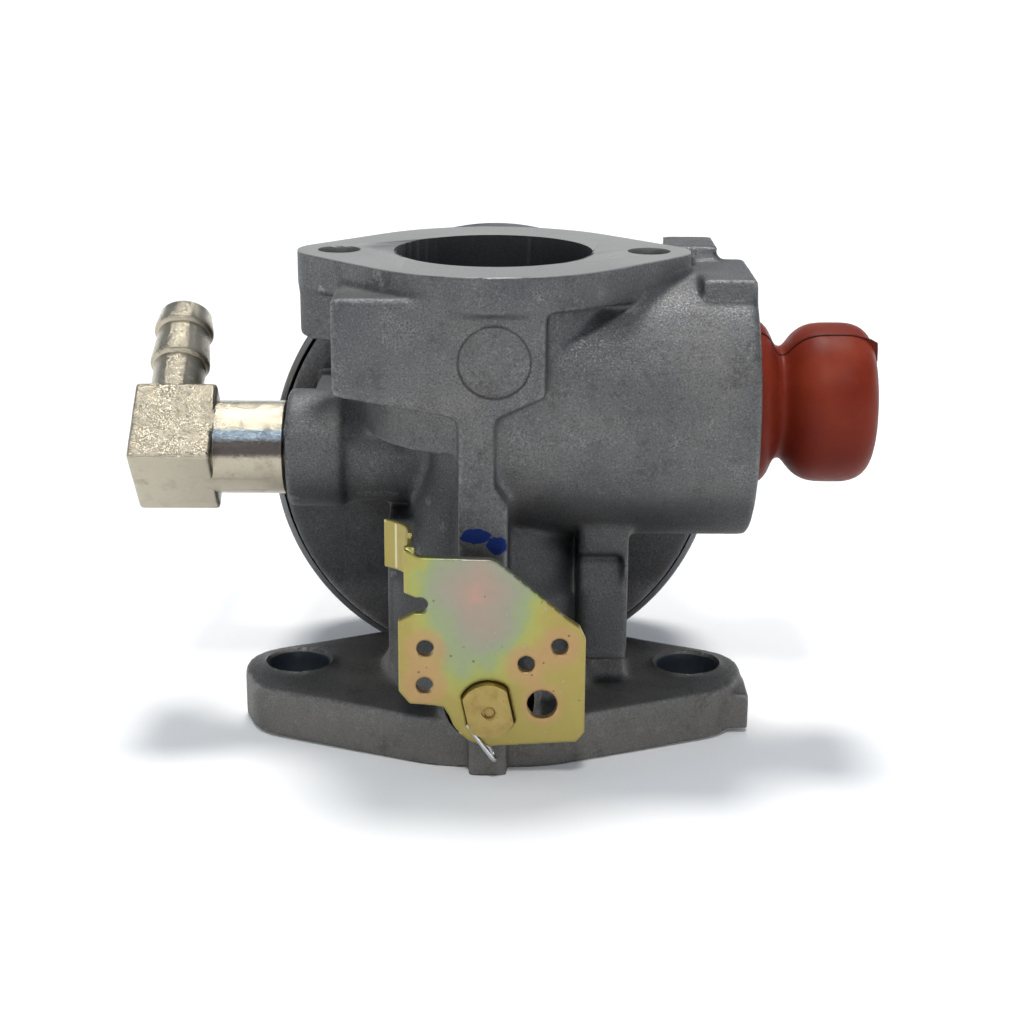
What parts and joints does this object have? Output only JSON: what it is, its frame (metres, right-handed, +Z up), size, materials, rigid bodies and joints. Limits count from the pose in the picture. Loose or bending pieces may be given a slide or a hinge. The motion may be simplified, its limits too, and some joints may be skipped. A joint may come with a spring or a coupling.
{
  "type": "small engine carburetor",
  "caption": "Float-bowl carburetor with a vertical bore, a throttle lever in front, a hose elbow at the left and a rubber primer bulb at the right.",
  "frame": {"origin": "centre of the object's box on the surface it stands on; the bore's axis is vertical, a little left of it and in front of it", "axes": "+Z up along the bore towards the air cleaner, +X from the hose elbow to the primer bulb, +Y from the throttle lever to the fuel bowl"},
  "size_m": [0.0878, 0.0738, 0.0585],
  "materials": {
    "cast_aluminium": "as die-cast, fine sparkling grain, machined top and bottom faces",
    "soft_plug": "pressed disc, smooth",
    "bowl_steel": "drawn sheet, dull plated",
    "steel": "bright wire and screws",
    "nickel_plate": "nickel plate over a rough forged block and a turned stem",
    "yellow_zinc": "yellow passivated zinc with iridescent clouding",
    "brass": "turned",
    "red_rubber": "moulded, satin, with a mould flash line",
    "black_rubber": "matte",
    "red_fibre": "pressed fibre",
    "float_plastic": "moulded black plastic"
  },
  "bodies": {
    "casting": {"carburetor_body": "cast_aluminium", "idle_chamber_plug": "soft_plug", "fuel_bowl": "bowl_steel", "bowl_gasket": "black_rubber", "bowl_nut": "brass", "bowl_nut_washer": "red_fibre", "main_nozzle": "brass", "float_hinge_pin": "steel", "inlet_seat": "black_rubber", "seat_retainer": "brass", "shaft_dust_seal": "black_rubber", "shaft_washer": "steel", "throttle_return_spring": "steel", "fuel_inlet_elbow": "nickel_plate", "primer_bulb_wall": "red_rubber", "primer_retainer_ring": "steel"},
    "throttle": {"throttle_shaft": "brass", "throttle_plate": "brass", "throttle_plate_screw": "steel", "throttle_lever": "yellow_zinc"},
    "float_arm": {"float": "float_plastic"},
    "needle": {"inlet_needle": "brass", "needle_spring_clip": "steel"},
    "primer_face": {"primer_bulb_face": "red_rubber"}
  },
  "joints": [
    {"name": "throttle_turn", "type": "hinge", "parent": "casting", "child": "throttle", "pos_m": [-0.0011, -0.03355, 0.0107], "axis": [0, -1, 0], "range_deg": [0, 64], "stiffness_Nm_per_rad": 0.01, "springref_deg": -28.65},
    {"name": "float_pivot", "type": "hinge", "parent": "casting", "child": "float_arm", "pos_m": [-0.0223, 0.01075, 0.034], "axis": [0, 0, 1], "range_deg": [0, 10]},
    {"name": "needle_slide", "type": "slide", "parent": "casting", "child": "needle", "axis": [0, 1, 0], "range_m": [0, 0.00075]},
    {"name": "primer_press", "type": "slide", "parent": "casting", "child": "primer_face", "axis": [-1, 0, 0], "range_m": [0, 0.006], "stiffness_N_per_m": 300}
  ],
  "couplings": [
    {"joint": "needle_slide", "follows": "float_pivot", "m_per_rad": 0.0042}
  ]
}
